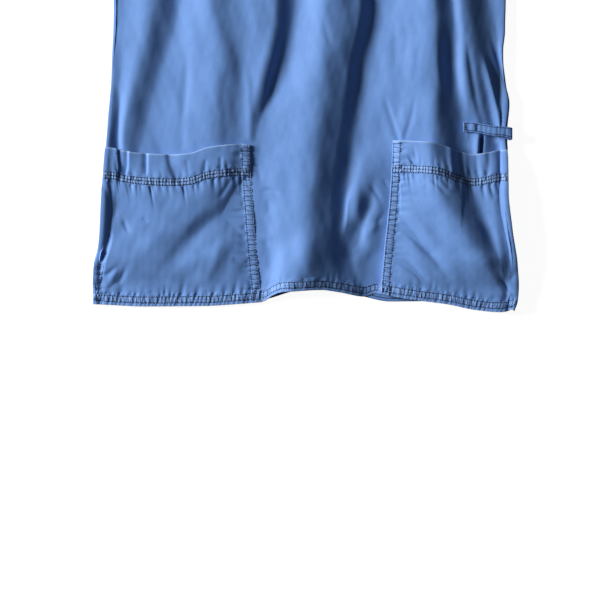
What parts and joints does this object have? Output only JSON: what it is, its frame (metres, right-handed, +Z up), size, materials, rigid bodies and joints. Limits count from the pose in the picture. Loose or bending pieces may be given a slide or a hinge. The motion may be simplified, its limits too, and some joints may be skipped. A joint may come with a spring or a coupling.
{
  "type": "medical scrub top",
  "caption": "Short-sleeved V-neck scrub top with patch pockets and a side utility loop, laid out flat with soft folds.",
  "frame": {"origin": "middle of the garment's box, on the surface that it lies on", "axes": "+X towards the wearer's left sleeve, +Y from hem to neck, +Z up out of the front"},
  "size_m": [0.85, 0.7093, 0.0305],
  "materials": {
    "scrub_cloth": "light blue poly-cotton twill with a soft sheen",
    "navy_thread": "navy sewing thread"
  },
  "bodies": {
    "root": {"back": "scrub_cloth", "front": "scrub_cloth", "sleeve_right": "scrub_cloth", "sleeve_left": "scrub_cloth", "pocket_right": "scrub_cloth", "pocket_left": "scrub_cloth", "front_neck_band": "scrub_cloth", "back_neck_band": "scrub_cloth", "utility_loop": "scrub_cloth"}
  },
  "joints": []
}
